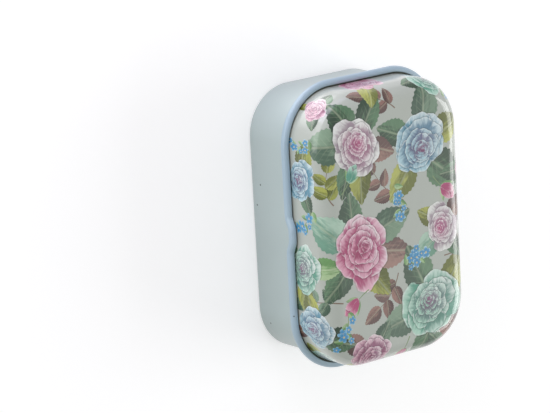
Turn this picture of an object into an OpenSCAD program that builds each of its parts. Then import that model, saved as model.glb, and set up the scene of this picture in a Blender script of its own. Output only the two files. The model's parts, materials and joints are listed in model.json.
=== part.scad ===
// Small hinged tin for sewing things.
// Two pressed tinplate shells: a deep base with its rim curled inwards, and a lid whose
// edge is curled outwards into a bead. The bead at the back turns on a strap that is
// lanced out of the base wall, so the hinge has no pin of its own.
// Millimetres. X is the long side, -Y the front with the thumb notch, +Z up.

/* [Base] */
// Length of the base, outside
base_l = 98; // [88:0.5:110]
// Width of the base, outside
base_w = 64.5; // [58:0.5:74]
// Radius of the base's upright corners, outside
corner_r = 18; // [12:0.5:22]
// Outside radius where the wall turns into the floor
foot_r = 2.2; // [1.5:0.1:4]
// Outside radius of the rim that is curled inwards
rim_r = 0.9; // [0.7:0.05:1.2]
// How far round the rim is curled, in degrees
rim_wrap = 290; // [240:5:300]

/* [Lid] */
// Height of the closed tin
tin_h = 42.5; // [40:0.5:50]
// Depth of the lid, from the underside of its bead to its top
lid_depth = 19; // [16:0.25:22]
// Outside radius of the shoulder between the skirt and the top
shoulder_r = 7.25; // [6:0.25:9]
// How far the base's rim stands up past the start of the shoulder
rim_over = 2.2; // [1.2:0.1:2.6]
// Outside radius of the bead, the lid's edge curled outwards
bead_r = 1.5; // [1.3:0.05:1.9]
// How far round the bead is curled, in degrees
bead_wrap = 290; // [260:5:310]

/* [Sheet] */
// Thickness of the tinplate
sheet = 0.3; // [0.22:0.01:0.4]

/* [Clearances] */
// Gap between the rim and the lid at the back
back_clear = 0.35; // [0.3:0.05:0.6]
// Gap between the rim and the lid at the two ends
end_clear = 0.75; // [0.6:0.05:1]
// Gap that is left in front while the skirt swings past the rim
swing_clear = 0.35; // [0.3:0.05:0.6]
// Running gap between the hinge strap and the bead
turn_clear = 0.06; // [0.03:0.01:0.09]

/* [Hinge] */
// Length of the stretch of bead that turns on the strap
knuckle_l = 17; // [14:0.5:22]
// Gap from the knuckle to each end of the strap
strap_gap = 0.8; // [0.5:0.1:1.5]
// Run of each strap leg along the wall
leg_run = 3.3; // [2.5:0.1:5]
// Gap from each strap leg to the bead beyond it
leg_gap = 0.6; // [0.5:0.1:1.5]
// Height of the window above the hinge axis
window_up = 4.6; // [3:0.1:6]
// Depth of the window below the hinge axis, a slit under the strap
window_down = 1.7; // [1.5:0.1:3]

/* [Thumb notch] */
// Length of the notch in the front edge
notch_l = 15; // [12:0.5:20]
// Length of its level middle
notch_level = 2.5; // [1:0.5:5]
// How far the edge rises in the notch
notch_rise = 1.7; // [1:0.1:2.4]

/* [Hidden] */
$fn = 96;
sage = "#aebcaf";
print_ground = "#c6cfc5";
// Room that a cutting tool has past what it cuts
past = 1;

// Heights
axis_z = tin_h - lid_depth + bead_r;
shoulder_z = tin_h - shoulder_r;
base_h = shoulder_z + rim_over;
rim_z = base_h - rim_r;

// The shoulder has already turned inwards this far beside the widest line of the rim
inner_shoulder_r = shoulder_r - sheet;
rim_up = max(rim_z - shoulder_z, 0);
lean_in = inner_shoulder_r - sqrt(pow(inner_shoulder_r, 2) - pow(rim_up, 2));

// Gaps between the base wall and the inside of the skirt
back_gap = back_clear + lean_in;
end_gap = end_clear + lean_in;
// The skirt's inner face swings back over the rim by the height squared over twice the reach
rim_above_axis = rim_z - axis_z;
front_gap = swing_clear + pow(rim_above_axis, 2) / (2 * (base_w + back_gap + bead_r));

// The lid is centred on the origin, and the base stands a little behind it
base_y = (front_gap - back_gap) / 2;
base_back = base_y + base_w / 2;
skirt_l = base_l + 2 * end_gap;
skirt_w = base_w + front_gap + back_gap;
skirt_r = corner_r + end_gap;
axis_y = skirt_w / 2 + bead_r;

// Straight stretches between the corner centres
base_run = [base_l - 2 * corner_r, base_w - 2 * corner_r];
lid_run = [skirt_l - 2 * skirt_r, skirt_w - 2 * skirt_r];

// Hinge
strap_r = bead_r - sheet - turn_clear;
strap_end = knuckle_l / 2 + strap_gap;
window_end = strap_end + leg_run;
slot_end = window_end + leg_gap;
strap_front = axis_y + strap_r;
leg_slope = (strap_front - base_back) / leg_run;
leg_foot = window_end + sheet / leg_slope;
leg_width = sheet / sin(atan(leg_slope));

// Each side of the notch is two equal arcs that turn by notch_turn
notch_side = (notch_l - notch_level) / 2;
notch_mid = (notch_l + notch_level) / 4;
notch_turn = 2 * atan(notch_rise / notch_side);
notch_arc = notch_side / (2 * sin(notch_turn));
// Drawing the edge up thins it by this much a face, over stretches that overlap by the tuck
notch_thin = 0.015;
notch_tuck = 0.1;

// Carries the profile in children() round a rectangle with round corners. Its x is
// the distance outwards from the corner centres, which lie run[0] by run[1] apart.
module round_walls(run) {
    for (i = [0:3]) {
        out = run[i % 2] / 2;
        along = run[(i + 1) % 2];
        rotate(90 * i) translate([out, along / 2, 0]) {
            rotate([90, 0, 0]) linear_extrude(along) children();
            rotate_extrude(angle = 90) children();
        }
    }
}

// A flat plate between the corner centres
module plate(run) {
    translate([-run[0] / 2, -run[1] / 2, 0]) cube([run[0], run[1], sheet]);
}

// Section of an edge curled from angle 0 round to wrap, centred on the origin, and
// thinner than the sheet by thin on each face
module curl(r, wrap, thin = 0) {
    open_mid = (wrap + 360) / 2;
    far = 3 * r;
    difference() {
        circle(r - thin);
        circle(r - sheet + thin);
        polygon([[0, 0],
                 far * [cos(wrap), sin(wrap)],
                 far * [cos(open_mid), sin(open_mid)],
                 [far, 0]]);
    }
}

// Quarter ring in the corner between +X and +Y
module quarter_ring(r) {
    intersection() {
        difference() {
            circle(r);
            circle(r - sheet);
        }
        square(r);
    }
}

// Section of the base, from its floor up to the rim
module base_section() {
    square([corner_r - foot_r, sheet]);
    translate([corner_r - foot_r, foot_r]) mirror([0, 1]) quarter_ring(foot_r);
    translate([corner_r - sheet, foot_r]) square([sheet, rim_z - foot_r]);
    translate([corner_r - rim_r, rim_z]) curl(rim_r, rim_wrap);
}

// Section of the bead: x is the distance out from the skirt's inner face, y the height
// above the skirt's edge
module bead_section(thin = 0) {
    translate([bead_r, 0]) rotate(180) curl(bead_r, bead_wrap, thin);
}

// Section of the lid, from the bead up the skirt and over the shoulder
module lid_section() {
    translate([skirt_r, axis_z]) {
        bead_section();
        square([sheet, shoulder_z - axis_z]);
    }
    translate([skirt_r + sheet - shoulder_r, shoulder_z]) quarter_ring(shoulder_r);
    translate([0, tin_h - sheet]) square([skirt_r + sheet - shoulder_r, sheet]);
}

// The window in the back wall, which the strap was pushed out of
module hinge_window() {
    translate([-window_end, base_back - sheet - past, axis_z - window_down])
        cube([2 * window_end, sheet + 2 * past, window_down + window_up]);
}

// Half-round section of the strap, open towards the wall
module strap_section() {
    intersection() {
        difference() {
            circle(strap_r);
            circle(strap_r - sheet);
        }
        translate([0, -strap_r]) square([strap_r, 2 * strap_r]);
    }
}

// The strap is pushed out of the wall on two slanting legs, and pressed into a
// half-round channel on the hinge axis
module hinge_strap() {
    intersection() {
        translate([-window_end, axis_y, axis_z]) rotate([90, 0, 90])
            linear_extrude(2 * window_end) strap_section();
        translate([0, 0, axis_z - strap_r]) linear_extrude(2 * strap_r)
            polygon([[-window_end, base_back], [-strap_end, strap_front],
                     [strap_end, strap_front], [window_end, base_back]]);
    }
    for (side = [0, 1]) mirror([side, 0, 0])
        translate([0, 0, axis_z - strap_r]) linear_extrude(2 * strap_r)
            polygon([[leg_foot - leg_width, base_back - sheet], [leg_foot, base_back - sheet],
                     [strap_end, strap_front], [strap_end - leg_width, strap_front]]);
}

// Two slots in the lid's back edge, through which the strap's legs pass
module hinge_slots() {
    for (side = [0, 1]) mirror([side, 0, 0])
        translate([knuckle_l / 2, skirt_w / 2 - past, axis_z - bead_r - past])
            cube([slot_end - knuckle_l / 2, 2 * (bead_r + past), 2 * bead_r + past + leg_gap]);
}

// Seen from the front, the part of the skirt that lies under the notch's curved edge
module under_notch() {
    low = -bead_r - past;
    intersection() {
        translate([-notch_mid, low]) square([2 * notch_mid, notch_rise - low]);
        union() {
            for (side = [-1, 1])
                translate([side * notch_level / 2, notch_rise - notch_arc]) circle(notch_arc);
            translate([-notch_level / 2, low]) square([notch_level, notch_rise - low]);
        }
    }
    for (side = [0, 1]) mirror([side, 0]) difference() {
        translate([notch_mid, low]) square([notch_l / 2 - notch_mid, notch_rise / 2 - low]);
        translate([notch_l / 2, notch_arc]) circle(notch_arc);
    }
}

// Takes the straight edge away where the notch goes: the skirt under the notch's
// curve, and all of the straight bead outside it
module notch_cut() {
    translate([0, past - skirt_w / 2, axis_z]) rotate([90, 0, 0])
        linear_extrude(2 * past + sheet) under_notch();
    translate([-notch_l / 2, -skirt_w / 2 - 2 * bead_r - past, axis_z - bead_r - past])
        cube([notch_l, 2 * bead_r + past - sheet, 2 * (bead_r + past)]);
}

// An arc of the bead at one end of the notch. It bends about a centre above it, where
// side is 1, or below it, where side is -1, and overruns both its ends by extra.
module notch_bend(side, thin = 0, extra = 0) {
    rotate([90, 0, 0]) rotate(-90 * side - extra)
        rotate_extrude(angle = notch_turn + 2 * extra) translate([notch_arc, 0])
        rotate(side > 0 ? 90 : 0) mirror(side > 0 ? [0, 0] : [1, -1]) bead_section(thin);
}

// The bead's way up, along and down again through the notch. The drawn stretches are a
// hair thinner and run on into their neighbours, as one curled edge.
module notch_bead() {
    level = notch_level + 2 * notch_tuck;
    translate([level / 2, -skirt_w / 2, axis_z + notch_rise]) rotate([90, 0, -90])
        linear_extrude(level) bead_section(notch_thin);
    for (side = [0, 1]) mirror([side, 0, 0]) {
        translate([-notch_l / 2, -skirt_w / 2, axis_z + notch_arc])
            notch_bend(1, notch_thin, atan(notch_tuck / notch_arc));
        translate([-notch_level / 2, -skirt_w / 2, axis_z + notch_rise - notch_arc])
            notch_bend(-1);
    }
}

module base() {
    color(sage) {
        difference() {
            translate([0, base_y, 0]) {
                round_walls(base_run) base_section();
                plate(base_run);
            }
            hinge_window();
        }
        hinge_strap();
    }
}

module lid() {
    color(print_ground) {
        difference() {
            union() {
                round_walls(lid_run) lid_section();
                translate([0, 0, tin_h - sheet]) plate(lid_run);
            }
            notch_cut();
            hinge_slots();
        }
        notch_bead();
    }
}

base();
lid();
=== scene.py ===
"""Looks of a small hinged sewing tin: two pressed tinplate shells, the lid with a flower print.

The shells are made as the real ones are. A flat blank is laid out, its holes are punched,
it is pressed over a section by one Geometry Nodes tree, and the sheet gets its thickness.
Lengths are in millimetres until a mesh is made, then metres.
"""

import json
import math
import random

import bpy
import numpy as np
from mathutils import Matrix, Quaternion, Vector
from mathutils.geometry import delaunay_2d_cdt


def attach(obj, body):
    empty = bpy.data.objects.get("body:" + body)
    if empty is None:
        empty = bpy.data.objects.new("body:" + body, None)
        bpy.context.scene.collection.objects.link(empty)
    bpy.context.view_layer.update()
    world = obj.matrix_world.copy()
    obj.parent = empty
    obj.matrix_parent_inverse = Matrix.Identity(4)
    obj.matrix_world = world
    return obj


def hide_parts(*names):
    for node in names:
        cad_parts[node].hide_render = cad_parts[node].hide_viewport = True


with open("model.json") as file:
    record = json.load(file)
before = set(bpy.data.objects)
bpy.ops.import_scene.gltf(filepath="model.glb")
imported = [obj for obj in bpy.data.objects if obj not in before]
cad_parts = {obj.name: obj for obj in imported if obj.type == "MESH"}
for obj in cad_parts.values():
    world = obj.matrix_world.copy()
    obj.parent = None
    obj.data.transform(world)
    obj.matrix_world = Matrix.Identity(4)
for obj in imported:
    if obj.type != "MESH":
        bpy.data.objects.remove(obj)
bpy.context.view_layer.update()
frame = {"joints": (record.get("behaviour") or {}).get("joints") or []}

MM = 0.001

# The tin's sizes, as in the part's source
SHEET = 0.3
TIN_H = 42.5
HALF_RUN_X = 31.0
BASE_HALF_RUN_Y = 14.25
LID_HALF_RUN_Y = 14.29
BASE_Y = 0.44
BASE_CORNER = 18.0
FOOT = 2.2
RIM_Z = 36.55
RIM = 0.9
SKIRT_CORNER = 18.873
SHOULDER = 7.25
BEAD = 1.5
CURL_TURN = 290
AXIS_Y, AXIS_Z = (1000 * value for value in frame["joints"][0]["pos_m"][1:])
SHOULDER_Z = TIN_H - SHOULDER
NOTCH_L, NOTCH_LEVEL, NOTCH_RISE = 15.0, 2.5, 1.7
STRAP_R, STRAP_END, WINDOW_END = 1.14, 9.3, 12.6
WINDOW_LOW, WINDOW_HIGH = AXIS_Z - 1.7, AXIS_Z + 4.6
KNUCKLE_END, SLOT_END, SLOT_TOP = 8.5, 13.2, AXIS_Z + 2.1
# Facets round a quarter corner, round each curl, and across the notch
CORNER_STEPS, BASE_CURL_STEPS, LID_CURL_STEPS, NOTCH_STEPS = 24, 16, 28, 44
# The ink layer stands this far off the tinplate, so that the two never share a face
INK_PROUD = 0.03


def linear(hex_colour):
    """An sRGB hex value as the linear colour that a socket takes, with full alpha."""
    parts = [int(hex_colour[i : i + 2], 16) / 255 for i in (1, 3, 5)]
    return (*(c / 12.92 if c <= 0.04045 else ((c + 0.055) / 1.055) ** 2.4 for c in parts), 1.0)


def add(tree, kind, *given, named=None, **settings):
    """Adds a node, sets its properties, and links or sets its inputs in order, then by name."""
    node = tree.nodes.new(kind)
    for key, value in settings.items():
        setattr(node, key, value)
    by_name = [(node.inputs[key], value) for key, value in (named or {}).items()]
    for socket, value in [*zip(node.inputs, given), *by_name]:
        if isinstance(value, bpy.types.Node):
            value = next(out for out in value.outputs if out.enabled)
        if isinstance(value, bpy.types.NodeSocket):
            tree.links.new(value, socket)
        elif value is not None:
            socket.default_value = value
    return node


# Materials

# Sockets of a colour mix: the share of the second colour, and the two colours
SHARE, FIRST, SECOND = 0, 6, 7
# Depth that a coat's bump stands for, in metres
RELIEF = 0.00004
# Between these heights, in metres, the outside coat's colour takes a painted shade that darkens
# towards the foot
FOOT_SHADE_LOW, FOOT_SHADE_HIGH = 0.001, 0.022


def new_material(name):
    """An empty node material and its tree."""
    material = bpy.data.materials.new(name)
    material.use_nodes = True
    material.node_tree.nodes.clear()
    return material, material.node_tree


def sheet_coat(name, hex_colour, shade, roughness, coat, speck, peel, foot=1.0):
    """Stoved enamel or lacquer rolled on tinplate: a smooth paint film with a low orange
    peel, a slow drift of its shade, and a few dark specks where grit chipped it. Towards
    the tin's foot its colour is darkened as a painted shade, down to the share foot."""
    material, tree = new_material(name)
    place = add(tree, "ShaderNodeTexCoord").outputs["Object"]
    # The film's shade drifts over about 25 mm
    drift = add(tree, "ShaderNodeTexNoise", place, named={"Scale": 40, "Detail": 2}).outputs["Fac"]
    tone = add(
        tree,
        "ShaderNodeMix",
        named={SHARE: drift, FIRST: linear(hex_colour), SECOND: linear(shade)},
        data_type="RGBA",
    )
    # Painted shade: the colour darkens towards the tin's foot, down to the share foot
    height = add(tree, "ShaderNodeSeparateXYZ", place).outputs["Z"]
    painted_foot_shade = add(tree, "ShaderNodeMapRange", height, FOOT_SHADE_LOW, FOOT_SHADE_HIGH, foot, 1.0)
    tone = add(tree, "ShaderNodeVectorMath", tone, named={"Scale": painted_foot_shade}, operation="SCALE")
    # A cell is about 9 mm wide and may hold a speck, dark over 0.4 mm and gone at 0.9 mm across
    cells = add(tree, "ShaderNodeTexVoronoi", place, named={"Scale": 110, "Randomness": 1.0})
    lot = add(tree, "ShaderNodeSeparateColor", cells.outputs["Color"])
    near = add(tree, "ShaderNodeMapRange", cells.outputs["Distance"], 0.022, 0.05, 1.0, 0.0)
    chosen = add(tree, "ShaderNodeMath", lot.outputs[0], speck, operation="LESS_THAN")
    grit = add(tree, "ShaderNodeMath", near, chosen, operation="MULTIPLY")
    colour = add(
        tree,
        "ShaderNodeMix",
        named={SHARE: grit, FIRST: tone, SECOND: linear("#3b4240")},
        data_type="RGBA",
    )
    # Orange peel has a pitch of about 1 mm
    skin = add(tree, "ShaderNodeTexNoise", place, named={"Scale": 900, "Detail": 2}).outputs["Fac"]
    bump = add(tree, "ShaderNodeBump", named={"Strength": peel, "Distance": RELIEF, "Height": skin})
    # Where the shade is deeper the film is a little rougher
    rub = add(tree, "ShaderNodeMapRange", drift, 0.3, 0.7, roughness - 0.04, roughness + 0.05)
    shader = add(
        tree,
        "ShaderNodeBsdfPrincipled",
        named={
            "Base Color": colour,
            "Roughness": rub,
            "Normal": bump,
            "Coat Weight": coat,
            "Coat Roughness": 0.2,
        },
    )
    add(tree, "ShaderNodeOutputMaterial", shader)
    return material


def bare_tinplate():
    """Cut edge of tinplate: bright metal, sheared, so it is a little rough and grey."""
    material, tree = new_material("tinplate_cut_edge")
    place = add(tree, "ShaderNodeTexCoord").outputs["Object"]
    # Shear marks, about 0.5 mm apart
    marks = add(tree, "ShaderNodeTexNoise", place, named={"Scale": 2000, "Detail": 2})
    rough = add(tree, "ShaderNodeMapRange", marks.outputs["Fac"], 0.3, 0.7, 0.3, 0.5)
    shader = add(
        tree,
        "ShaderNodeBsdfPrincipled",
        named={"Base Color": linear("#b9bab6"), "Metallic": 1.0, "Roughness": rough},
    )
    add(tree, "ShaderNodeOutputMaterial", shader)
    return material


# A petal's edge waves by these shares of its radius, three and seven times round
WAVE_3, WAVE_7 = 0.08, 0.045
# Kinds of inked shape, told apart in the shader to within this much
GROUND, STEM, PETAL, LEAF = 0.0, 1.0, 2.0, 3.0
SAME_KIND = 0.4


def flower_print():
    """Offset-printed and varnished tinplate. Each inked shape brings its two inks and its own
    place in the shape: u across, v from root to tip, both -1 to 1. The varnish is a clear
    gloss coat."""
    material, tree = new_material("varnished_flower_print")
    root = add(tree, "ShaderNodeAttribute", attribute_name="root")
    tip = add(tree, "ShaderNodeAttribute", attribute_name="tip")
    brush = add(tree, "ShaderNodeAttribute", attribute_name="brush")
    place = add(tree, "ShaderNodeTexCoord").outputs["Object"]
    kind = root.outputs["Alpha"]
    uvs = add(tree, "ShaderNodeSeparateXYZ", brush.outputs["Vector"])
    u, v, seed = uvs.outputs
    flat_uv = add(tree, "ShaderNodeCombineXYZ", u, v, 0.0)

    # Brush strokes run from root to tip, five or six across a petal
    stroke_u = add(tree, "ShaderNodeMath", u, 4.0, operation="MULTIPLY")
    stroke_v = add(tree, "ShaderNodeMath", v, 1.1, operation="MULTIPLY")
    stroke_at = add(tree, "ShaderNodeCombineXYZ", stroke_u, stroke_v, seed)
    stroke = add(tree, "ShaderNodeTexNoise", stroke_at, named={"Scale": 1.3, "Detail": 3})
    stroke = stroke.outputs["Fac"]

    # Petal: how near its waved edge, and how far from root to tip
    angle = add(tree, "ShaderNodeMath", v, u, operation="ARCTAN2")
    three = add(tree, "ShaderNodeMath", angle, 3.0, seed, operation="MULTIPLY_ADD")
    seven = add(tree, "ShaderNodeMath", angle, 7.0, seed, operation="MULTIPLY_ADD")
    sine_3 = add(tree, "ShaderNodeMath", three, operation="SINE")
    sine_7 = add(tree, "ShaderNodeMath", seven, operation="SINE")
    waved = add(tree, "ShaderNodeMath", sine_3, WAVE_3, 1.0, operation="MULTIPLY_ADD")
    limit = add(tree, "ShaderNodeMath", sine_7, WAVE_7, waved, operation="MULTIPLY_ADD")
    reach = add(tree, "ShaderNodeVectorMath", flat_uv, operation="LENGTH").outputs["Value"]
    nearness = add(tree, "ShaderNodeMath", reach, limit, operation="DIVIDE")
    # The outermost sixth of a petal rolls over and catches the light in patches
    rolled = add(
        tree, "ShaderNodeMapRange", nearness, 0.84, 0.97, 0.0, 1.0, interpolation_type="SMOOTHSTEP"
    )
    patchy = add(tree, "ShaderNodeMapRange", stroke, 0.4, 0.62, 0.0, 0.62)
    lit_edge = add(tree, "ShaderNodeMath", rolled, patchy, operation="MULTIPLY")
    # The tip's ink gives way to the root's along the brush strokes
    shifted = add(tree, "ShaderNodeMath", stroke, 1.5, v, operation="MULTIPLY_ADD")
    outer = add(
        tree, "ShaderNodeMapRange", shifted, 0.68, 1.75, 0.0, 1.0, interpolation_type="SMOOTHSTEP"
    )
    petal_ink = add(
        tree,
        "ShaderNodeMix",
        named={SHARE: outer, FIRST: root.outputs["Color"], SECOND: tip.outputs["Color"]},
        data_type="RGBA",
    )
    petal_look = add(
        tree,
        "ShaderNodeMix",
        named={SHARE: lit_edge, FIRST: petal_ink, SECOND: linear("#eef1ee")},
        data_type="RGBA",
    )

    # Leaf: one half in each ink, a pale midrib and side veins that sweep towards the tip
    side = add(tree, "ShaderNodeMath", stroke, 3.0, u, operation="MULTIPLY_ADD")
    half_tone = add(
        tree, "ShaderNodeMapRange", side, 1.0, 2.2, 0.0, 1.0, interpolation_type="SMOOTHSTEP"
    )
    across = add(tree, "ShaderNodeMath", u, operation="ABSOLUTE")
    bowed = add(tree, "ShaderNodeMath", across, 0.75, operation="POWER")
    swept = add(tree, "ShaderNodeMath", bowed, -0.62, v, operation="MULTIPLY_ADD")
    many = add(tree, "ShaderNodeMath", swept, 3.6, operation="MULTIPLY")
    saw = add(tree, "ShaderNodeMath", many, 0.5, operation="PINGPONG")
    vein = add(
        tree, "ShaderNodeMapRange", saw, 0.0, 0.14, 0.2, 0.0, interpolation_type="SMOOTHSTEP"
    )
    midrib = add(tree, "ShaderNodeMapRange", across, 0.02, 0.09, 0.36, 0.0)
    # Side veins fade towards the leaf's edge
    faded = add(tree, "ShaderNodeMapRange", across, 0.15, 0.7, 1.0, 0.1)
    vein = add(tree, "ShaderNodeMath", vein, faded, operation="MULTIPLY")
    veined = add(tree, "ShaderNodeMath", vein, midrib, operation="MAXIMUM")
    leaf_ink = add(
        tree,
        "ShaderNodeMix",
        named={SHARE: half_tone, FIRST: root.outputs["Color"], SECOND: tip.outputs["Color"]},
        data_type="RGBA",
    )
    leaf_look = add(
        tree,
        "ShaderNodeMix",
        named={SHARE: veined, FIRST: leaf_ink, SECOND: linear("#c3cdae")},
        data_type="RGBA",
    )

    # Ground and stems take the root ink alone
    is_petal = add(tree, "ShaderNodeMath", kind, PETAL, SAME_KIND, operation="COMPARE")
    is_leaf = add(tree, "ShaderNodeMath", kind, LEAF, SAME_KIND, operation="COMPARE")
    ink = add(
        tree,
        "ShaderNodeMix",
        named={SHARE: is_petal, FIRST: root.outputs["Color"], SECOND: petal_look},
        data_type="RGBA",
    )
    ink = add(
        tree,
        "ShaderNodeMix",
        named={SHARE: is_leaf, FIRST: ink, SECOND: leaf_look},
        data_type="RGBA",
    )

    # Wash: the inks pool unevenly over 2 to 6 mm, the ground hardly at all
    wash = add(tree, "ShaderNodeTexNoise", place, named={"Scale": 260, "Detail": 4}).outputs["Fac"]
    pools = add(tree, "ShaderNodeMapRange", wash, 0.3, 0.7, -0.1, 0.06)
    inked = add(tree, "ShaderNodeMapRange", kind, 0.0, 1.0, 0.15, 1.0)
    pooled = add(tree, "ShaderNodeMath", pools, inked, 1.0, operation="MULTIPLY_ADD")
    colour = add(tree, "ShaderNodeVectorMath", ink, named={"Scale": pooled}, operation="SCALE")
    # Varnish flows out over about 2 mm
    flow = add(tree, "ShaderNodeTexNoise", place, named={"Scale": 500, "Detail": 1}).outputs["Fac"]
    bump = add(tree, "ShaderNodeBump", named={"Strength": 0.06, "Distance": RELIEF, "Height": flow})
    shader = add(
        tree,
        "ShaderNodeBsdfPrincipled",
        named={
            "Base Color": colour,
            "Roughness": 0.38,
            "Normal": bump,
            "Coat Weight": 1.0,
            "Coat Roughness": 0.07,
        },
    )
    add(tree, "ShaderNodeOutputMaterial", shader)
    return material


# Name, colour, its other shade, roughness, gloss coat, share of cells with a speck, orange peel;
# foot is the share that the painted shade at the foot leaves
OUTSIDE = sheet_coat("sage_stoved_enamel", "#c2d1cf", "#b5c5c3", 0.38, 0.25, 0.5, 0.2, foot=0.81)
INSIDE = sheet_coat("slate_blue_lacquer", "#5c7899", "#56718f", 0.36, 0.2, 0.2, 0.25)
BEAD_COAT = sheet_coat("light_blue_lacquer", "#adc4d1", "#a1b9c8", 0.3, 0.4, 0.6, 0.3)
PRINT_GROUND = sheet_coat("print_ground_enamel", "#b7beb6", "#b1b8ae", 0.34, 0.5, 0.0, 0.15)
CUT_EDGE = bare_tinplate()
PRINT = flower_print()


# Pressed shells


def press_tool():
    """Presses a flat blank over a section. A point's distance out from the rectangle of
    corner centres is its distance along the section."""
    tree = bpy.data.node_groups.new("press_blank", "GeometryNodeTree")
    sockets = (
        ("Blank", "INPUT", "NodeSocketGeometry"),
        ("Section", "INPUT", "NodeSocketObject"),
        ("Half run", "INPUT", "NodeSocketVector"),
        ("Centre", "INPUT", "NodeSocketVector"),
        ("Coat", "INPUT", "NodeSocketMaterial"),
        ("Shell", "OUTPUT", "NodeSocketGeometry"),
    )
    for name, way, kind in sockets:
        tree.interface.new_socket(name, in_out=way, socket_type=kind)
    sheet, tool, run, centre, coat = add(tree, "NodeGroupInput").outputs[:5]
    point = add(tree, "GeometryNodeInputPosition")
    back_run = add(tree, "ShaderNodeVectorMath", run, (-1, -1, -1), operation="MULTIPLY")
    above = add(tree, "ShaderNodeVectorMath", point, back_run, operation="MAXIMUM")
    pivot = add(tree, "ShaderNodeVectorMath", above, run, operation="MINIMUM")
    away = add(tree, "ShaderNodeVectorMath", point, pivot, operation="SUBTRACT")
    along = add(tree, "ShaderNodeVectorMath", away, operation="LENGTH").outputs["Value"]
    outwards = add(tree, "ShaderNodeVectorMath", away, operation="NORMALIZE")
    line = add(tree, "GeometryNodeObjectInfo", tool).outputs["Geometry"]
    sample = add(
        tree, "GeometryNodeSampleCurve", named={"Curves": line, "Length": along}, mode="LENGTH"
    )
    out, _, high = add(tree, "ShaderNodeSeparateXYZ", sample.outputs["Position"]).outputs
    reach = add(tree, "ShaderNodeVectorMath", outwards, named={"Scale": out}, operation="SCALE")
    lift = add(tree, "ShaderNodeCombineXYZ", 0.0, 0.0, high)
    placed = add(tree, "ShaderNodeVectorMath", pivot, reach, operation="ADD")
    raised = add(tree, "ShaderNodeVectorMath", placed, lift, operation="ADD")
    moved = add(tree, "ShaderNodeVectorMath", raised, centre, operation="ADD")
    pressed = add(tree, "GeometryNodeSetPosition", named={"Geometry": sheet, "Position": moved})
    real = add(tree, "GeometryNodeRealizeInstances", pressed)
    coated = add(tree, "GeometryNodeSetMaterial", named={"Geometry": real, "Material": coat})
    add(tree, "NodeGroupOutput", coated)
    return tree


PRESS = press_tool()


def settle(piece):
    """Turns what the piece's modifiers make of it into its plain mesh."""
    graph = bpy.context.evaluated_depsgraph_get()
    made = bpy.data.meshes.new_from_object(piece.evaluated_get(graph))
    piece.modifiers.clear()
    piece.data = made


def new_piece(name, points, faces):
    """A piece from points in millimetres."""
    mesh = bpy.data.meshes.new(name)
    mesh.from_pydata((np.asarray(points, float) * MM).tolist(), [], faces)
    piece = bpy.data.objects.new(name, mesh)
    bpy.context.scene.collection.objects.link(piece)
    return piece


def section(flat, bend, z, up, wall_stops, curl, curl_side, curl_steps):
    """The section from the corner centres outwards: flat, bend, wall and curled edge.
    Gives its points and the distance along it of each."""
    points = [(0.0, z), (flat, z)]
    # The lid's wide shoulder takes more facets than the base's tight foot
    bend_steps = 12 if bend > FOOT else 6
    for i in range(1, bend_steps + 1):
        a = math.pi / 2 * i / bend_steps
        points.append((flat + bend * math.sin(a), z + up * bend * (1 - math.cos(a))))
    out = flat + bend
    points += [(out, stop) for stop in wall_stops]
    end = wall_stops[-1]
    for i in range(1, curl_steps + 1):
        a = math.radians(CURL_TURN) * i / curl_steps
        points.append((out + curl_side * curl * (1 - math.cos(a)), end + up * curl * math.sin(a)))
    lengths = np.cumsum([0.0] + [math.dist(a, b) for a, b in zip(points, points[1:])])
    return points, lengths.tolist()


def columns(half_x, half_y, front=(), back=()):
    """Corner-centre points and outward directions, counterclockwise from the front left, with
    the places along the front and back where the sheet is also divided."""
    found = []
    sides = (
        (-90, (half_x, -half_y), [(x, -half_y) for x in front]),
        (0, (half_x, half_y), []),
        (90, (-half_x, half_y), [(x, half_y) for x in sorted(back, reverse=True)]),
        (180, (-half_x, -half_y), []),
    )
    for start, corner, stops in sides:
        a = math.radians(start)
        found += [(*stop, math.cos(a), math.sin(a)) for stop in stops]
        for i in range(CORNER_STEPS + 1):
            a = math.radians(start + 90 * i / CORNER_STEPS)
            found.append((*corner, math.cos(a), math.sin(a)))
    return found


# An outward direction whose y is above this points straight back
STRAIGHT_BACK = 0.9999


def blank(name, cols, rows, holes, face_down=False):
    """A flat blank with its holes punched: (low x, high x, from, to) in its back side."""
    count = len(rows)
    points = [(cx + nx * d, cy + ny * d, 0.0) for cx, cy, nx, ny in cols for d in rows]
    faces = [tuple(i * count for i in range(len(cols)))]
    for i, col in enumerate(cols):
        k = (i + 1) % len(cols)
        at_back = min(col[3], cols[k][3]) > STRAIGHT_BACK
        middle = (col[0] + cols[k][0]) / 2
        for j in range(count - 1):
            d = (rows[j] + rows[j + 1]) / 2
            if at_back and any(x0 < middle < x1 and d0 < d < d1 for x0, x1, d0, d1 in holes):
                continue
            here, there = i * count + j, k * count + j
            faces.append((here, here + 1, there + 1, there))
    if face_down:
        faces = [face[::-1] for face in faces]
    return new_piece(name, points, faces)


def press(piece, line, half_run, centre, coat):
    """Runs the piece through the press tree over the section line."""
    curve = bpy.data.curves.new("section", "CURVE")
    curve.dimensions = "3D"
    spline = curve.splines.new("POLY")
    spline.points.add(len(line) - 1)
    for point, (out, high) in zip(spline.points, line):
        point.co = (out * MM, 0, high * MM, 1)
    tool = bpy.data.objects.new("section", curve)
    bpy.context.scene.collection.objects.link(tool)
    modifier = piece.modifiers.new("press", "NODES")
    modifier.node_group = PRESS
    values = {"Section": tool, "Half run": half_run, "Centre": centre, "Coat": coat}
    for socket in PRESS.interface.items_tree:
        if socket.in_out == "INPUT" and socket.name in values:
            value = values[socket.name]
            if isinstance(value, tuple):
                value = [c * MM for c in value]
            modifier[socket.identifier] = value
    settle(piece)
    bpy.data.objects.remove(tool)


# A point this near the wall, or this near the axis's height, counts as on it
ON_WALL, ON_AXIS = 0.02, 1e-4


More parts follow.
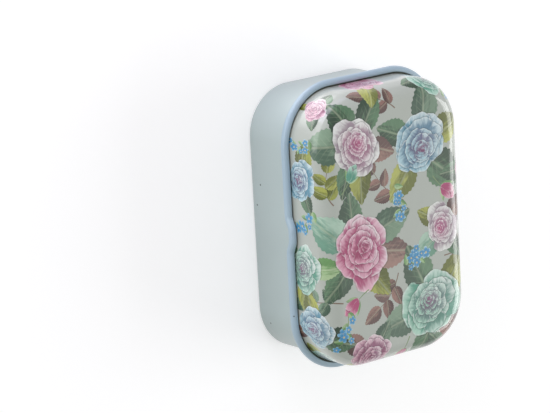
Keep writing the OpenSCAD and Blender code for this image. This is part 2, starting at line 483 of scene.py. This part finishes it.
def press_notch(piece, wall_y):
    """Presses the thumb notch up into the front edge. The skirt above it closes up, and the
    bead tilts with the curve."""
    mesh = piece.data
    p = np.empty(len(mesh.vertices) * 3)
    mesh.vertices.foreach_get("co", p)
    p = p.reshape(-1, 3) / MM
    side = (NOTCH_L - NOTCH_LEVEL) / 2
    # A smooth step up each side of the notch, and its slope
    t = np.clip((NOTCH_L / 2 - np.abs(p[:, 0])) / side, 0, 1)
    rise = NOTCH_RISE * t**3 * (6 * t * t - 15 * t + 10)
    slope = -np.sign(p[:, 0]) * NOTCH_RISE / side * 30 * t**2 * (1 - t) ** 2
    low = p[:, 2] - AXIS_Z
    front = (p[:, 1] < wall_y + ON_WALL) & (rise > 0) & (p[:, 2] < SHOULDER_Z)
    bead = front & ((p[:, 1] < wall_y - ON_WALL) | (low < -ON_AXIS))
    skirt = front & ~bead
    p[skirt, 2] += (rise * (1 - low / (SHOULDER_Z - AXIS_Z)))[skirt]
    tilt = np.sqrt(1 + slope**2)
    p[bead, 0] -= (low * slope / tilt)[bead]
    p[bead, 2] = (AXIS_Z + rise + low / tilt)[bead]
    mesh.vertices.foreach_set("co", (p * MM).ravel())


def thicken(piece, inner, edge):
    """Gives the sheet its thickness about its middle, with its coats and bare cut edges."""
    for coat in (inner, edge):
        piece.data.materials.append(coat)
    sheet = piece.modifiers.new("sheet", "SOLIDIFY")
    sheet.thickness = SHEET * MM
    sheet.offset = 0
    sheet.use_even_offset = True
    sheet.material_offset = 1
    sheet.material_offset_rim = 2
    settle(piece)


def smooth(piece, angle=35):
    """Shades the sheet smooth, with its cut edges crisp."""
    mesh = piece.data
    mesh.polygons.foreach_set("use_smooth", [True] * len(mesh.polygons))
    mesh.set_sharp_from_angle(angle=math.radians(angle))


def steps(low, high, count):
    """Evenly spaced values from low to high, both included."""
    return [low + (high - low) * i / count for i in range(count + 1)]


def make_base():
    """The base: the foot bends up into the wall, whose rim is curled inwards."""
    stops = [WINDOW_LOW, WINDOW_HIGH, RIM_Z]
    line, lengths = section(
        flat=BASE_CORNER - FOOT,
        bend=FOOT - SHEET / 2,
        z=SHEET / 2,
        up=1,
        wall_stops=stops,
        curl=RIM - SHEET / 2,
        curl_side=-1,
        curl_steps=BASE_CURL_STEPS,
    )
    window = [lengths[i] for i, p in enumerate(line) if p[1] in (WINDOW_LOW, WINDOW_HIGH)]
    cols = columns(HALF_RUN_X, BASE_HALF_RUN_Y, back=(-WINDOW_END, WINDOW_END))
    holes = [(-WINDOW_END, WINDOW_END, *window)]
    piece = blank("base_shell", cols, lengths[1:], holes, face_down=True)
    press(piece, line, (HALF_RUN_X, BASE_HALF_RUN_Y, 0.0), (0.0, BASE_Y, 0.0), OUTSIDE)
    thicken(piece, INSIDE, CUT_EDGE)
    smooth(piece)
    return piece


def lid_section(proud, curl, curl_steps):
    """The section of the lid or of its ink, proud of the lid's outside. Gives its points, the
    distance along it of each, and the distance where the hinge's slots begin."""
    line, lengths = section(
        flat=SKIRT_CORNER + SHEET - SHOULDER,
        bend=SHOULDER + proud,
        z=TIN_H + proud,
        up=-1,
        wall_stops=[SLOT_TOP, AXIS_Z],
        curl=curl,
        curl_side=1,
        curl_steps=curl_steps,
    )
    heights = [high for _, high in line]
    return line, lengths, lengths[heights.index(SLOT_TOP)]


def lid_columns():
    """The columns that the lid and its ink share, so that both bend alike."""
    return columns(
        HALF_RUN_X,
        LID_HALF_RUN_Y,
        front=steps(-NOTCH_L / 2, NOTCH_L / 2, NOTCH_STEPS),
        back=(-SLOT_END, -KNUCKLE_END, KNUCKLE_END, SLOT_END),
    )


def make_lid():
    """The lid: the shoulder bends down into the skirt, whose edge is curled outwards."""
    line, lengths, slot_top = lid_section(-SHEET / 2, BEAD - SHEET / 2, LID_CURL_STEPS)
    slot = (slot_top, lengths[-1] + 1)
    holes = [(-SLOT_END, -KNUCKLE_END, *slot), (KNUCKLE_END, SLOT_END, *slot)]
    piece = blank("lid_shell", lid_columns(), lengths[1:], holes)
    press(piece, line, (HALF_RUN_X, LID_HALF_RUN_Y, 0.0), (0.0, 0.0, 0.0), PRINT_GROUND)
    press_notch(piece, -(LID_HALF_RUN_Y + SKIRT_CORNER + SHEET / 2))
    thicken(piece, BEAD_COAT, CUT_EDGE)
    smooth(piece)
    return piece


def make_strap():
    """The half-round strap that is lanced out of the base wall, and its two slanting legs."""
    back = BASE_Y + BASE_HALF_RUN_Y + BASE_CORNER
    front = AXIS_Y + STRAP_R
    middle = STRAP_R - SHEET / 2
    arc, across = 12, 8
    points, faces = [], []
    for i in range(arc + 1):
        a = math.radians(-90 + 180 * i / arc)
        y, z = AXIS_Y + middle * math.cos(a), AXIS_Z + middle * math.sin(a)
        end = STRAP_END + (WINDOW_END - STRAP_END) * (front - y) / (front - back)
        points += [(end * (2 * j / across - 1), y, z) for j in range(across + 1)]
    for i in range(arc):
        for j in range(across):
            k = i * (across + 1) + j
            faces.append((k, k + 1, k + across + 2, k + across + 1))
    piece = new_piece("hinge_strap", points, faces)
    piece.data.materials.append(OUTSIDE)
    thicken(piece, INSIDE, CUT_EDGE)
    low, high = AXIS_Z - STRAP_R, AXIS_Z + STRAP_R
    slope = (front - back) / (WINDOW_END - STRAP_END)
    foot = WINDOW_END + SHEET / slope
    width = SHEET / math.sin(math.atan(slope))
    points, faces = [], []
    for side in (-1, 1):
        plan = [
            (foot, back - SHEET),
            (STRAP_END, front),
            (STRAP_END - width, front),
            (foot - width, back - SHEET),
        ]
        plan = [(side * x, y) for x, y in plan][::side]
        first = len(points)
        points += [(x, y, z) for z in (low, high) for x, y in plan]
        faces += [tuple(first + i for i in (3, 2, 1, 0)), tuple(first + i for i in (4, 5, 6, 7))]
        for k in range(4):
            after = (k + 1) % 4
            faces.append(tuple(first + i for i in (k, after, after + 4, k + 4)))
    legs = new_piece("strap_legs", points, faces)
    for coat in (OUTSIDE, INSIDE, CUT_EDGE):
        legs.data.materials.append(coat)
    for face in legs.data.polygons:
        # The top and bottom are sheared edges, and the side that faces the middle is lacquered
        inwards = face.normal.x * face.center.x < 0
        face.material_index = 2 if abs(face.normal.z) > 0.5 else int(inwards)
    with bpy.context.temp_override(active_object=piece, selected_editable_objects=[piece, legs]):
        bpy.ops.object.join()
    smooth(piece)
    return piece


# The print


dice = random.Random(11)
# A whole turn, near enough for the dice
A_TURN = 6.28
GROUND_INK, TWIG_INK, SPRIG_INK = "#b9c0b7", "#85705f", "#7f9a6a"
# Inks of the flowers: the outer petals' tip and root, then the heart's
FLOWER_INKS = {
    "rose_pink": ("#e9b3c6", "#b23f72", "#dc7fa4", "#8e1f50"),
    "mint": ("#b5ddca", "#4d9a80", "#93cbb2", "#7c4c70"),
    "teal_blue": ("#b6d9e2", "#4387a2", "#88bccb", "#763d68"),
    "cream": ("#e9ebe6", "#9a8593", "#e0aec3", "#a8306a"),
    "dusk": ("#dcaabb", "#8d4a6c", "#c97f9c", "#701f4b"),
}
# Inks of a leaf's two halves
LEAF_INKS = {
    "forest": ("#27452f", "#57805c"),
    "sage": ("#3f5f4a", "#7c9a7f"),
    "olive": ("#626b1c", "#b4ba55"),
    "brown": ("#583a36", "#9a7166"),
    "fresh": ("#5f9650", "#b0cf98"),
    "mint_leaf": ("#6a9c84", "#b2d2bd"),
}
# The brush's dark line round a shape: how much wider it is, how far a petal's is pushed
# outwards as a share of its length, and the share of light that each kind leaves
LINE_WIDER, PETAL_PUSH, PETAL_LINE, LEAF_LINE = 1.05, 0.07, 0.72, 0.78
shapes = []


def turned(angle):
    """The unit vector at an angle from +X."""
    return np.array([math.cos(angle), math.sin(angle)])


def ink_shape(kind, outline, centre, across, along, root, tip, seed, shade=None):
    """Lays one inked shape over those before it. across and along are its local axes. A shade
    is the brush's dark line round it, as a shape that only darkens what lies below: how much
    wider it is, how far it is pushed, and the share of light that it leaves."""
    looks = {
        "centre": np.asarray(centre, float),
        "axes": np.linalg.inv(np.column_stack([across, along])),
        "root": linear(root),
        "tip": linear(tip),
        "seed": seed,
        "kind": kind,
    }
    if shade:
        grown, push, dark = shade
        middle = looks["centre"]
        rim = [middle + (p - middle) * grown + push for p in outline]
        shapes.append({**looks, "outline": rim, "dark": dark})
    shapes.append({**looks, "outline": outline, "dark": None})


def petal(centre, direction, width, length, root, tip, count, shade=True):
    """A rounded petal from its root towards direction, with count points round its waved
    edge and the brush's dark line round it if shade is set."""
    along = turned(direction) * length
    across = turned(direction - math.pi / 2) * width
    seed = dice.uniform(0, A_TURN)
    outline = []
    for i in range(count):
        a = 2 * math.pi * i / count
        r = 1 + WAVE_3 * math.sin(3 * a + seed) + WAVE_7 * math.sin(7 * a + seed)
        outline.append(centre + r * (math.cos(a) * across + math.sin(a) * along))
    edge = (LINE_WIDER, along * PETAL_PUSH, PETAL_LINE) if shade else None
    ink_shape(PETAL, outline, centre, across, along, root, tip, seed, edge)


def blend_hex(a, b, share):
    """The colour that lies share of the way from a to b."""
    pairs = zip(*([int(h[i : i + 2], 16) for i in (1, 3, 5)] for h in (a, b)))
    return "#" + "".join(f"{round(x + (y - x) * share):02x}" for x, y in pairs)


# Whorls from the outside in: petals, distance from the middle, half width, half length
ROSE = (
    (6, 0.64, 0.42, 0.38),
    (6, 0.47, 0.35, 0.31),
    (5, 0.33, 0.3, 0.26),
    (5, 0.22, 0.23, 0.2),
    (4, 0.13, 0.18, 0.15),
    (3, 0.07, 0.12, 0.1),
    (2, 0.03, 0.07, 0.06),
)
PEONY = (
    (5, 0.6, 0.5, 0.42),
    (7, 0.5, 0.33, 0.3),
    (8, 0.38, 0.24, 0.22),
    (9, 0.28, 0.17, 0.17),
    (8, 0.19, 0.12, 0.13),
    (6, 0.1, 0.09, 0.1),
    (4, 0.04, 0.06, 0.07),
)
# Points round a petal, by whorl: the small inner ones need fewer
PETAL_POINTS = (25, 25, 19, 19, 14, 14, 14)
BUD_POINTS = 20
# The painted flowers are lit from this side
LIGHT_SIDE = 2.2
# A flower's width along the way it leans, as a share of its width across
LEAN = 0.8


def flower(x, y, radius, inks, turn, whorls):
    """A full garden flower: whorls of petals, each on top of the one outside it, closing to
    a small dark heart. It leans, so it is narrower one way and its heart sits off centre."""
    outer_tip, outer_root, heart_tip, heart_root = FLOWER_INKS[inks]
    lean_along = turned(turn)
    for ring, (count, distance, width, length) in enumerate(whorls):
        share = ring / (len(whorls) - 1)
        tip = blend_hex(outer_tip, heart_tip, share**1.3)
        root = blend_hex(outer_root, heart_root, share)
        start = dice.uniform(0, A_TURN)
        order = list(range(count))
        dice.shuffle(order)
        for i in order:
            a = start + 2 * math.pi * i / count + dice.uniform(-0.16, 0.16)
            grown = radius * dice.uniform(0.86, 1.12)
            spot = turned(a) * distance * grown
            spot -= lean_along * (spot @ lean_along) * (1 - LEAN)
            spot += lean_along * radius * 0.2 * share
            squeeze = 1 - (1 - LEAN) * abs(turned(a) @ lean_along)
            lit = (1 + math.cos(a - LIGHT_SIDE)) / 2
            petal(
                np.array([x, y]) + spot,
                a + dice.uniform(-0.25, 0.25),
                width * grown,
                length * grown * squeeze,
                blend_hex(root, "#e4e8e6", 0.25 * lit * dice.uniform(0.3, 1)),
                blend_hex(tip, "#f6f7f5", 0.7 * lit * dice.uniform(0.4, 1)),
                PETAL_POINTS[ring],
            )


# Teeth along each side of a leaf
TEETH = 9


def leaf(x, y, direction, length, inks, plump=0.34):
    """A toothed, pointed leaf that grows from x, y. Plump is its half width as a share of
    its length. Some leaves are painted lighter, some darker."""
    root, tip = LEAF_INKS[inks]
    along = turned(direction) * length / 2
    across = turned(direction - math.pi / 2) * length * plump
    centre = np.array([x, y]) + along
    lop = dice.uniform(-0.12, 0.12)
    right, left = [], []
    for i in range(TEETH * 2 + 1):
        v = -1 + i / TEETH
        # Widest a little nearer the root, and every second point stands out as a tooth
        width = (1 + v) ** 0.62 * (1 - v) ** 1.02 * 0.88
        step = (0.06 if i % 2 else -0.02) * (width > 0)
        right.append(centre + across * (width * (1 + lop) + step) + along * v)
        left.append(centre - across * (width * (1 - lop) + step) + along * v)
    outline = right + left[-2:0:-1]
    shade = dice.uniform(-0.16, 0.16)
    ink = "#e8ece0" if shade > 0 else "#26332c"
    ink_shape(
        LEAF,
        outline,
        centre,
        across,
        along,
        blend_hex(root, ink, abs(shade)),
        blend_hex(tip, ink, abs(shade)),
        dice.uniform(0, A_TURN),
        (LINE_WIDER, np.zeros(2), LEAF_LINE),
    )


# Points along a stem
STEM_POINTS = 9


def stem(start, bend, end, width, ink):
    """A tapered stroke along a bent line. Gives points along it."""
    start, bend, end = (np.asarray(p, float) for p in (start, bend, end))
    t = np.linspace(0, 1, STEM_POINTS)[:, None]
    middle = (1 - t) ** 2 * start + 2 * t * (1 - t) * bend + t**2 * end
    way = np.gradient(middle, axis=0)
    way /= np.linalg.norm(way, axis=1)[:, None]
    normal = np.column_stack([-way[:, 1], way[:, 0]]) * width / 2
    normal *= np.linspace(1, 0.45, STEM_POINTS)[:, None]
    outline = [*(middle - normal), *(middle + normal)[::-1]]
    ink_shape(STEM, outline, start, (1, 0), (0, 1), ink, ink, 0.0)
    return middle


def leaf_spray(start, bend, end, inks, length):
    """A stem with two leaves on each side in turn and one at its tip."""
    line = stem(start, bend, end, 0.5, TWIG_INK)
    for i in range(2):
        for side in (-1, 1):
            k = 2 + i * 3 + (side > 0)
            heading = math.atan2(*(line[k + 1] - line[k])[::-1])
            size = length * (1 - 0.1 * i) * dice.uniform(0.8, 1.0)
            leaf(*line[k], heading + side * dice.uniform(0.8, 1.1), size, inks)
    heading = math.atan2(*(line[-1] - line[-2])[::-1])
    leaf(*line[-1], heading, length, inks)


def small_flower(x, y, radius):
    """A small blue flower of five petals round a yellow eye."""
    start = dice.uniform(0, A_TURN)
    tip = blend_hex("#74b9dc", "#cfe8f0", dice.uniform(0, 1))
    for i in range(5):
        a = start + 2 * math.pi * i / 5
        spot = np.array([x, y]) + turned(a) * radius * 0.56
        petal(spot, a, radius * 0.33, radius * 0.44, "#3f93c4", tip, 12, shade=False)
    eye = radius * 0.17
    petal(np.array([x, y]), 0, eye, eye, "#d9c27a", "#f0e8bd", 8, shade=False)


def blue_sprig(start, bend, end, count):
    """A thin stem of small blue flowers and fresh leaves."""
    line = stem(start, bend, end, 0.4, SPRIG_INK)
    last = STEM_POINTS - 1
    for i in range(0, last, 2):
        heading = math.atan2(*(line[i + 1] - line[i])[::-1])
        leaf(*line[i], heading + (0.9 if i % 4 == 0 else -0.9), 4.2, "fresh", 0.26)
    for i in range(count):
        spot = line[2 + i * (last - 2) // (count - 1)]
        # The golden angle keeps the flowers from lining up
        aside = turned(2.4 * i) * dice.uniform(0.6, 3.4)
        small_flower(*(spot + aside), dice.uniform(1.2, 2.4))


def bud(x, y, direction, length, inks):
    """A closed bud: folded petals over its green cup."""
    outer_tip, outer_root, heart_tip, heart_root = FLOWER_INKS[inks]
    way = turned(direction)
    aside = turned(direction + math.pi / 2)
    spot = np.array([x, y], float)
    foot = spot - way * length * 0.7 + aside
    stem(foot, spot - way * length * 0.3, spot + way, 0.5, SPRIG_INK)
    leaf(*spot, direction + 0.75, length * 0.75, "fresh", 0.2)
    leaf(*spot, direction - 0.75, length * 0.75, "fresh", 0.2)
    middle = spot + way * length * 0.5
    petal(middle, direction, length * 0.3, length * 0.48, heart_root, heart_tip, BUD_POINTS)
    for side in (-1, 1):
        folded = spot + way * length * 0.4 + aside * length * 0.13 * side
        heading = direction + 0.25 * side
        petal(folded, heading, length * 0.2, length * 0.4, outer_root, outer_tip, BUD_POINTS)


def collar(x, y, radius, inks):
    """Leaves that stand out all round from under a flower."""
    start = dice.uniform(0, A_TURN)
    for i, name in enumerate(inks):
        a = start + 2 * math.pi * i / len(inks) + dice.uniform(-0.2, 0.2)
        spot = np.array([x, y]) + turned(a) * radius * 0.5
        heading = a + dice.uniform(-0.35, 0.35)
        length = radius * dice.uniform(1.0, 1.35)
        leaf(*spot, heading, length, name, dice.uniform(0.34, 0.44))


# The flowers: place on the flat blank, radius, inks, the way it leans, whorls, collar of leaves
FLOWERS = (
    (-27, 13, 14.0, "teal_blue", 0.4, ROSE, "forest olive sage forest olive"),
    (6, -17, 14.5, "rose_pink", 1.9, ROSE, "forest olive brown sage forest mint_leaf"),
    (33, 15, 14.5, "mint", 3.6, PEONY, "forest brown olive forest sage"),
    (-31, -17, 12.0, "cream", 2.4, PEONY, "sage forest olive brown forest forest"),
    (5, 22, 9.0, "cream", 5.0, PEONY, "mint_leaf forest brown olive"),
    (46, -14, 9.5, "dusk", 0.3, ROSE, "olive forest sage brown"),
    (12, -42, 9.5, "mint", 4.6, PEONY, "forest olive fresh"),
    (-15, 38, 9.5, "rose_pink", 1.2, ROSE, "forest sage olive"),
    (34, -38, 9.5, "teal_blue", 5.2, ROSE, "forest olive brown"),
    (58, 4, 8.5, "cream", 0.2, PEONY, "forest sage"),
    (-58, -4, 8.5, "rose_pink", 3.1, ROSE, "olive forest"),
    (25, 42, 8.0, "dusk", 1.6, ROSE, "forest olive"),
    (-20, -42, 8.5, "teal_blue", 4.4, ROSE, "brown forest olive"),
    (-51, 21, 8.5, "mint", 2.5, PEONY, "forest olive"),
    (52, 24, 8.0, "rose_pink", 0.8, ROSE, "sage forest"),
    (-50, -31, 6.5, "dusk", 3.9, ROSE, "forest forest olive"),
    (53, -32, 7.5, "mint", 5.6, PEONY, "olive forest"),
)


def lay_out_print():
    """The whole design, from the ground up: sprays, collars, flowers, sprigs and buds. Its
    middle lies on the top of the lid, and its borders run down over the skirt."""
    leaf_spray((-8, 4), (-12, -4), (-20, -9), "brown", 9)
    leaf_spray((18, 0), (25, -2), (29, -9), "brown", 9)
    leaf_spray((16, 22), (16, 30), (11, 36), "brown", 8)
    leaf_spray((-42, 2), (-46, -2), (-48, -10), "brown", 8)
    leaf_spray((-12, -28), (-16, -32), (-24, -30), "olive", 8)
    leaf_spray((38, 32), (42, 38), (38, 45), "sage", 8)
    leaf_spray((24, -26), (22, -34), (24, -42), "sage", 8)
    leaf_spray((-32, 32), (-36, 38), (-34, 45), "brown", 8)
    for x, y, radius, inks, turn, whorls, leaves in FLOWERS:
        collar(x, y, radius, leaves.split())
    for x, y, radius, inks, turn, whorls, leaves in FLOWERS:
        flower(x, y, radius, inks, turn, whorls)
    bud(24, -19, -0.9, 8, "rose_pink")
    bud(-10, 22, 0.9, 8, "rose_pink")
    bud(-19, -21, 2.6, 7, "mint")
    bud(47, 2, -0.2, 7, "rose_pink")
    blue_sprig((16, 4), (12, 8), (14, 13), 8)
    blue_sprig((-14, 0), (-8, 3), (-2, 2), 7)
    blue_sprig((-42, 26), (-44, 31), (-41, 37), 6)
    blue_sprig((28, -24), (36, -24), (40, -28), 6)
    blue_sprig((-36, -36), (-32, -40), (-34, -46), 5)
    blue_sprig((0, 40), (6, 44), (12, 44), 6)
    blue_sprig((-10, -36), (-4, -40), (-2, -45), 5)


# What delaunay_2d_cdt gives: the triangles that lie inside a face. Points nearer than this merge
WITHIN, MERGE = 1, 1e-5
# The brush's lines darken the inks, and the bare ground, no further than to these shares
DARKEST_INK, DARKEST_GROUND = 0.55, 0.94
# Above the bead the skirt's ink is darkened as a painted shade of the bead, over this width and at
# this share
SEAM, SEAM_SHADE = BEAD * 0.6, 0.5


def print_blank(lengths, slot_top):
    """The design as one flat layer. Where shapes overlap only the topmost keeps its ink. The
    facets follow the same rows and columns as the lid's, so that both bend alike."""
    end = lengths[-1]
    cols = lid_columns()
    points, edges, faces = [], [], []

    def lay(outline):
        first = len(points)
        points.extend((float(x), float(y)) for x, y in outline)
        return list(range(first, len(points)))

    # Face 0 is the whole blank, then come the shapes in order, and last the hinge's slots
    faces.append(lay([(cx + nx * end, cy + ny * end) for cx, cy, nx, ny in cols]))
    for d in [*lengths[1:-1], end - SEAM]:
        loop = lay([(cx + nx * d, cy + ny * d) for cx, cy, nx, ny in cols])
        edges += zip(loop, loop[1:] + loop[:1])
    for cx, cy, nx, ny in cols:
        at_corner = min(abs(nx), abs(ny)) > 1e-6
        if at_corner:
            edges.append(tuple(lay([(cx + nx * d, cy + ny * d) for d in (lengths[1], end)])))
    for shape in shapes:
        faces.append(lay(shape["outline"]))
    top, past = LID_HALF_RUN_Y + slot_top, LID_HALF_RUN_Y + end + 1
    for side in (-1, 1):
        x0, x1 = sorted((side * KNUCKLE_END, side * SLOT_END))
        faces.append(lay([(x0, top), (x1, top), (x1, past), (x0, past)]))
    made, _, triangles, _, _, origins = delaunay_2d_cdt(
        [Vector(p) for p in points], edges, faces, WITHIN, MERGE, True
    )
    made = np.array([tuple(p) for p in made])
    ground = {
        "centre": np.zeros(2),
        "axes": np.eye(2),
        "root": linear(GROUND_INK),
        "tip": linear(GROUND_INK),
        "seed": 0.0,
        "kind": GROUND,
        "dark": None,
    }
    half_run = np.array([HALF_RUN_X, LID_HALF_RUN_Y])
    looks = [ground, *shapes]
    kept, owners, darkness = [], [], []
    for triangle, origin in zip(triangles, origins):
        if 0 not in origin or max(origin) >= len(looks):
            continue
        # The topmost shape that isn't a brush's line gives the ink, darkened by those above it
        dark = 1.0
        for k in sorted(origin, reverse=True):
            if looks[k]["dark"] is None:
                break
            dark *= looks[k]["dark"]
        dark = max(dark, DARKEST_INK if k else DARKEST_GROUND)
        middle = made[list(triangle)].mean(axis=0)
        # Painted shade: the ink in the strip just above the bead is darkened
        if np.linalg.norm(middle - np.clip(middle, -half_run, half_run)) > end - SEAM:
            dark *= SEAM_SHADE
        kept.append(tuple(triangle))
        owners.append(k)
        darkness.append(dark)
    piece = new_piece("flower_print", np.column_stack([made, np.zeros(len(made))]), kept)
    mesh = piece.data
    corners = np.empty(len(mesh.loops), int)
    mesh.loops.foreach_get("vertex_index", corners)
    owner = np.repeat(owners, 3)
    darkness = np.repeat(darkness, 3)[:, None]
    wanted = ("centre", "axes", "root", "tip", "seed", "kind")
    of_owner = {key: np.array([look[key] for look in looks])[owner] for key in wanted}
    local = np.einsum("nij,nj->ni", of_owner["axes"], made[corners] - of_owner["centre"])
    brush = mesh.attributes.new("brush", "FLOAT_VECTOR", "CORNER")
    brush.data.foreach_set("vector", np.column_stack([local, of_owner["seed"]]).ravel())
    for name in ("root", "tip"):
        inks = of_owner[name] * darkness
        inks[:, 3] = of_owner["kind"]
        layer = mesh.attributes.new(name, "FLOAT_COLOR", "CORNER")
        layer.data.foreach_set("color", inks.ravel())
    return piece


def make_print():
    """The ink layer on the lid's outside, from the top to the start of the bead."""
    line, lengths, slot_top = lid_section(INK_PROUD, curl=0, curl_steps=0)
    lay_out_print()
    piece = print_blank(lengths, slot_top)
    press(piece, line, (HALF_RUN_X, LID_HALF_RUN_Y, 0.0), (0.0, 0.0, 0.0), PRINT)
    press_notch(piece, -(LID_HALF_RUN_Y + SKIRT_CORNER + SHEET + INK_PROUD))
    smooth(piece, 60)
    return piece


# Pieces on their bodies

for piece, body, slot in (
    (make_base(), "base_body", "base_enamel"),
    (make_strap(), "base_body", "base_enamel"),
    (make_lid(), "lid_body", "lid_print"),
    (make_print(), "lid_body", "lid_print"),
):
    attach(piece, body)
    if piece.name.endswith("_shell"):
        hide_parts(slot.split("_")[0])


# Floor, lights and camera


# Half the table's side, in millimetres
TABLE_HALF = 3000
# The table's own glow near the tin and far from it, and the distances, in metres, between
GLOW_NEAR, GLOW_FAR = 0.42, 0.64
GLOW_FROM, GLOW_TO = 0.25, 0.8
# A painted reflection: a patch of table that glows for gloss rays only and shows on the tin's
# corner as a painted highlight: its middle, its inner and outer radius in metres, its strength
GLINT_SPOT, GLINT_INNER, GLINT_OUTER, GLINT_GLOW = (-0.1, -0.045, 0.0), 0.033, 0.05, 2.6
# The room's light on the tin. To the camera the room is plain white
ROOM_LIGHT = 0.52


def make_floor():
    """A white table that shows white to the camera and still takes the tin's shadow, with a patch
    that glows for gloss rays only as a painted reflection.
    """
    plan = ((-1, -1), (1, -1), (1, 1), (-1, 1))
    points = [(x * TABLE_HALF, y * TABLE_HALF, 0) for x, y in plan]
    floor = new_piece("floor", points, [(0, 1, 2, 3)])
    material, tree = new_material("white_table")
    rays = add(tree, "ShaderNodeLightPath").outputs
    glossy = rays["Is Glossy Ray"]
    seen = add(tree, "ShaderNodeMath", rays["Is Camera Ray"], glossy, operation="MAXIMUM")
    seen = add(tree, "ShaderNodeMath", seen, rays["Is Transmission Ray"], operation="MAXIMUM")
    place = add(tree, "ShaderNodeTexCoord").outputs["Object"]
    away = add(tree, "ShaderNodeVectorMath", place, operation="LENGTH").outputs["Value"]
    # Beyond the lamps' reach the table glows more, so that it stays as white as near the tin
    level = add(tree, "ShaderNodeMapRange", away, GLOW_FROM, GLOW_TO, GLOW_NEAR, GLOW_FAR)
    lift = add(tree, "ShaderNodeMath", seen, level, operation="MULTIPLY")
    # A patch off the tin's left front corner glows for gloss rays only: a painted reflection that
    # puts a painted highlight on the tin's corner
    off = add(tree, "ShaderNodeVectorMath", place, GLINT_SPOT, operation="DISTANCE")
    off = off.outputs["Value"]
    window = add(tree, "ShaderNodeMapRange", off, GLINT_INNER, GLINT_OUTER, GLINT_GLOW, 0.0)
    window = add(tree, "ShaderNodeMath", window, glossy, operation="MULTIPLY")
    lift = add(tree, "ShaderNodeMath", lift, window, operation="ADD")
    table = add(tree, "ShaderNodeBsdfDiffuse", linear("#e4e4e4"))
    glow = add(tree, "ShaderNodeEmission", (1, 1, 1, 1), lift)
    add(tree, "ShaderNodeOutputMaterial", add(tree, "ShaderNodeAddShader", table, glow))
    floor.data.materials.append(material)


def lamp(name, towards, distance, size, energy, hex_colour):
    """A soft rectangular lamp that faces the tin from a distance in metres."""
    light = bpy.data.lights.new(name, "AREA")
    light.shape = "RECTANGLE"
    light.size, light.size_y = size
    light.energy = energy
    light.color = linear(hex_colour)[:3]
    holder = bpy.data.objects.new(name, light)
    towards = Vector(towards).normalized()
    holder.location = towards * distance
    holder.rotation_mode = "QUATERNION"
    holder.rotation_quaternion = (-towards).to_track_quat("-Z", "Y")
    holder.visible_camera = False
    bpy.context.scene.collection.objects.link(holder)


def make_light():
    """A pale room that is white where it is seen, a lilac lamp at the tin's left end, a cool
    one off its left front corner, and wide white ones in front and behind."""
    world = bpy.data.worlds.new("pale_room")
    world.use_nodes = True
    world.node_tree.nodes.clear()
    tree = world.node_tree
    rays = add(tree, "ShaderNodeLightPath").outputs
    through = rays["Is Transmission Ray"]
    seen = add(tree, "ShaderNodeMath", rays["Is Camera Ray"], through, operation="MAXIMUM")
    strength = add(tree, "ShaderNodeMapRange", seen, 0.0, 1.0, ROOM_LIGHT, 1.0)
    room = add(tree, "ShaderNodeBackground", (1, 1, 1, 1), strength)
    add(tree, "ShaderNodeOutputWorld", room)
    bpy.context.scene.world = world
    # Name, the way to it, distance, size in metres, watts, colour
    lamp("end_lamp", (-0.99, 0.06, 0.12), 0.7, (0.45, 0.14), 0.32, "#e4d8ff")
    lamp("corner_lamp", (-0.87, -0.45, 0.16), 0.5, (0.26, 0.22), 0.85, "#f2eaff")
    lamp("front_lamp", (-0.34, -0.93, 0.15), 0.7, (0.7, 0.4), 1.75, "#ffffff")
    lamp("far_lamp", (0.24, 0.86, 0.45), 1.0, (0.7, 0.5), 4.0, "#ffffff")


# The camera looks down on the lid from the front left, rolled so that the tin's left end is
# up. Its angles are in degrees, its distance, aim, lens and sensor in millimetres
AZIMUTH, ELEVATION, ROLL = -21.228, 49.916, 103.331
DISTANCE = 1264.8
AIM = (-4.61, -22.63, 2.09)
LENS, SENSOR = 229.09, 36


def make_camera():
    """The camera whose perspective was fitted to the photograph."""
    camera = bpy.data.objects.new("camera", bpy.data.cameras.new("camera"))
    bpy.context.scene.collection.objects.link(camera)
    a, e = math.radians(AZIMUTH), math.radians(ELEVATION)
    back = Vector((math.sin(a) * math.cos(e), -math.cos(a) * math.cos(e), math.sin(e)))
    camera.location = (Vector(AIM) + back * DISTANCE) * MM
    camera.rotation_mode = "QUATERNION"
    level = (-back).to_track_quat("-Z", "Y")
    camera.rotation_quaternion = Quaternion(back, math.radians(ROLL)) @ level
    camera.data.lens = LENS
    camera.data.sensor_width = SENSOR
    camera.data.clip_start, camera.data.clip_end = 0.05, 20
    bpy.context.scene.camera = camera


make_floor()
make_light()
make_camera()
bpy.context.scene.view_settings.view_transform = "Standard"

bpy.context.view_layer.update()
